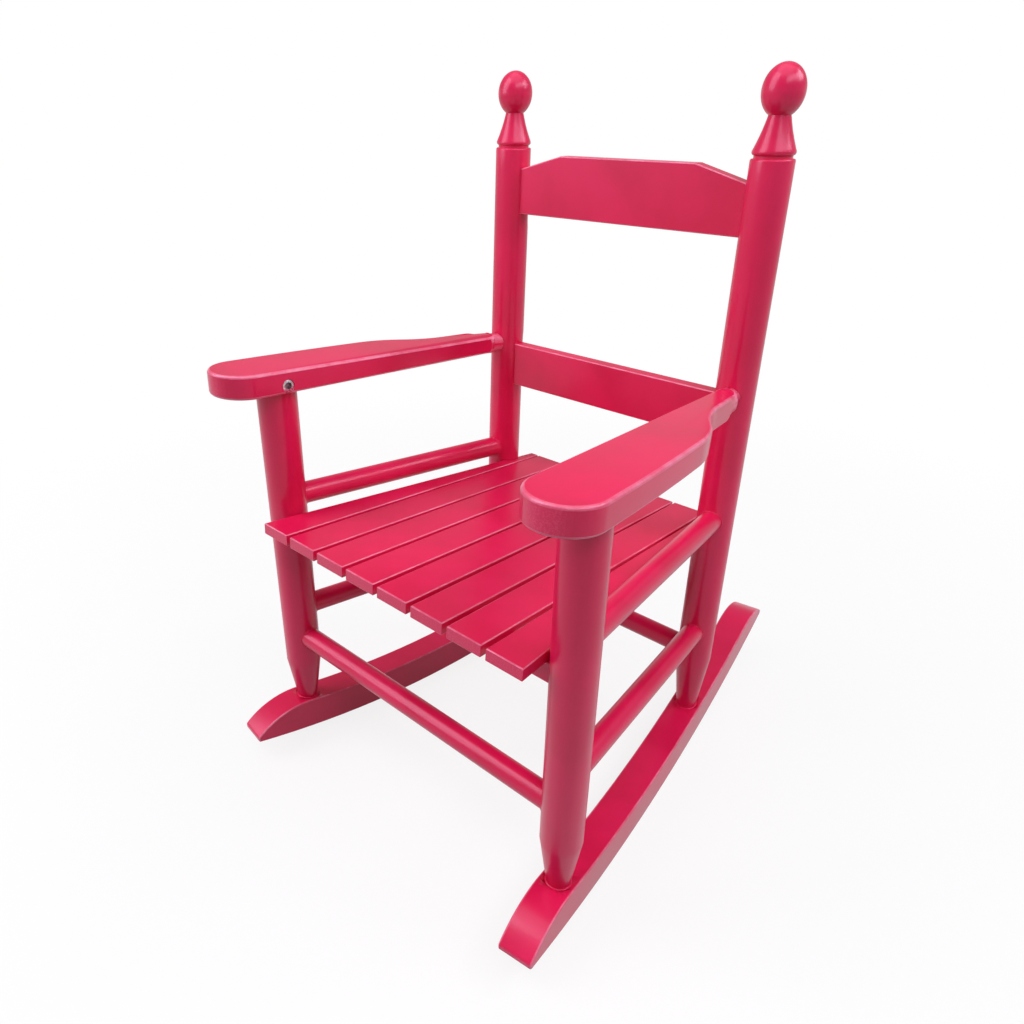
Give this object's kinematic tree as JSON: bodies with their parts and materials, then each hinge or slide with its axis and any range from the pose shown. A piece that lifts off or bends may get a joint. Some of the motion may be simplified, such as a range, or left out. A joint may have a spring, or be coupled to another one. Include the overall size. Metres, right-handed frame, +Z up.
{
  "type": "rocking chair",
  "caption": "Small slatted-seat rocking chair for a child, with flat arms, turned legs, egg-topped rear posts and curved rockers.",
  "frame": {"origin": "on the floor under the middle of the chair's bounding box; the rockers touch the floor at z = 0", "axes": "+Z up, the chair faces -Y, +X to the right seen from the front"},
  "size_m": [0.3554, 0.4864, 0.569],
  "materials": {
    "painted_wood": "crimson-pink semi-gloss paint on smooth wood",
    "zinc_steel": "zinc-plated, dull bright"
  },
  "bodies": {
    "root": {"rocker_left": "painted_wood", "rocker_right": "painted_wood", "front_leg_left": "painted_wood", "front_leg_right": "painted_wood", "rear_post_left": "painted_wood", "rear_post_right": "painted_wood", "arm_left": "painted_wood", "arm_right": "painted_wood", "crest_slat": "painted_wood", "lower_back_slat": "painted_wood", "seat_slat_1": "painted_wood", "seat_slat_2": "painted_wood", "seat_slat_3": "painted_wood", "seat_slat_4": "painted_wood", "seat_slat_5": "painted_wood", "seat_slat_6": "painted_wood", "seat_slat_7": "painted_wood", "seat_slat_8": "painted_wood", "front_seat_rail": "painted_wood", "rear_seat_rail": "painted_wood", "upper_side_rail_left": "painted_wood", "upper_side_rail_right": "painted_wood", "lower_side_stretcher_left": "painted_wood", "lower_side_stretcher_right": "painted_wood", "front_stretcher": "painted_wood", "rear_stretcher": "painted_wood", "barrel_nut_left": "zinc_steel", "barrel_nut_right": "zinc_steel", "hanger_bolt_left": "zinc_steel", "hanger_bolt_right": "zinc_steel", "front_slat_screws": "zinc_steel", "rear_slat_screws": "zinc_steel"}
  },
  "joints": []
}
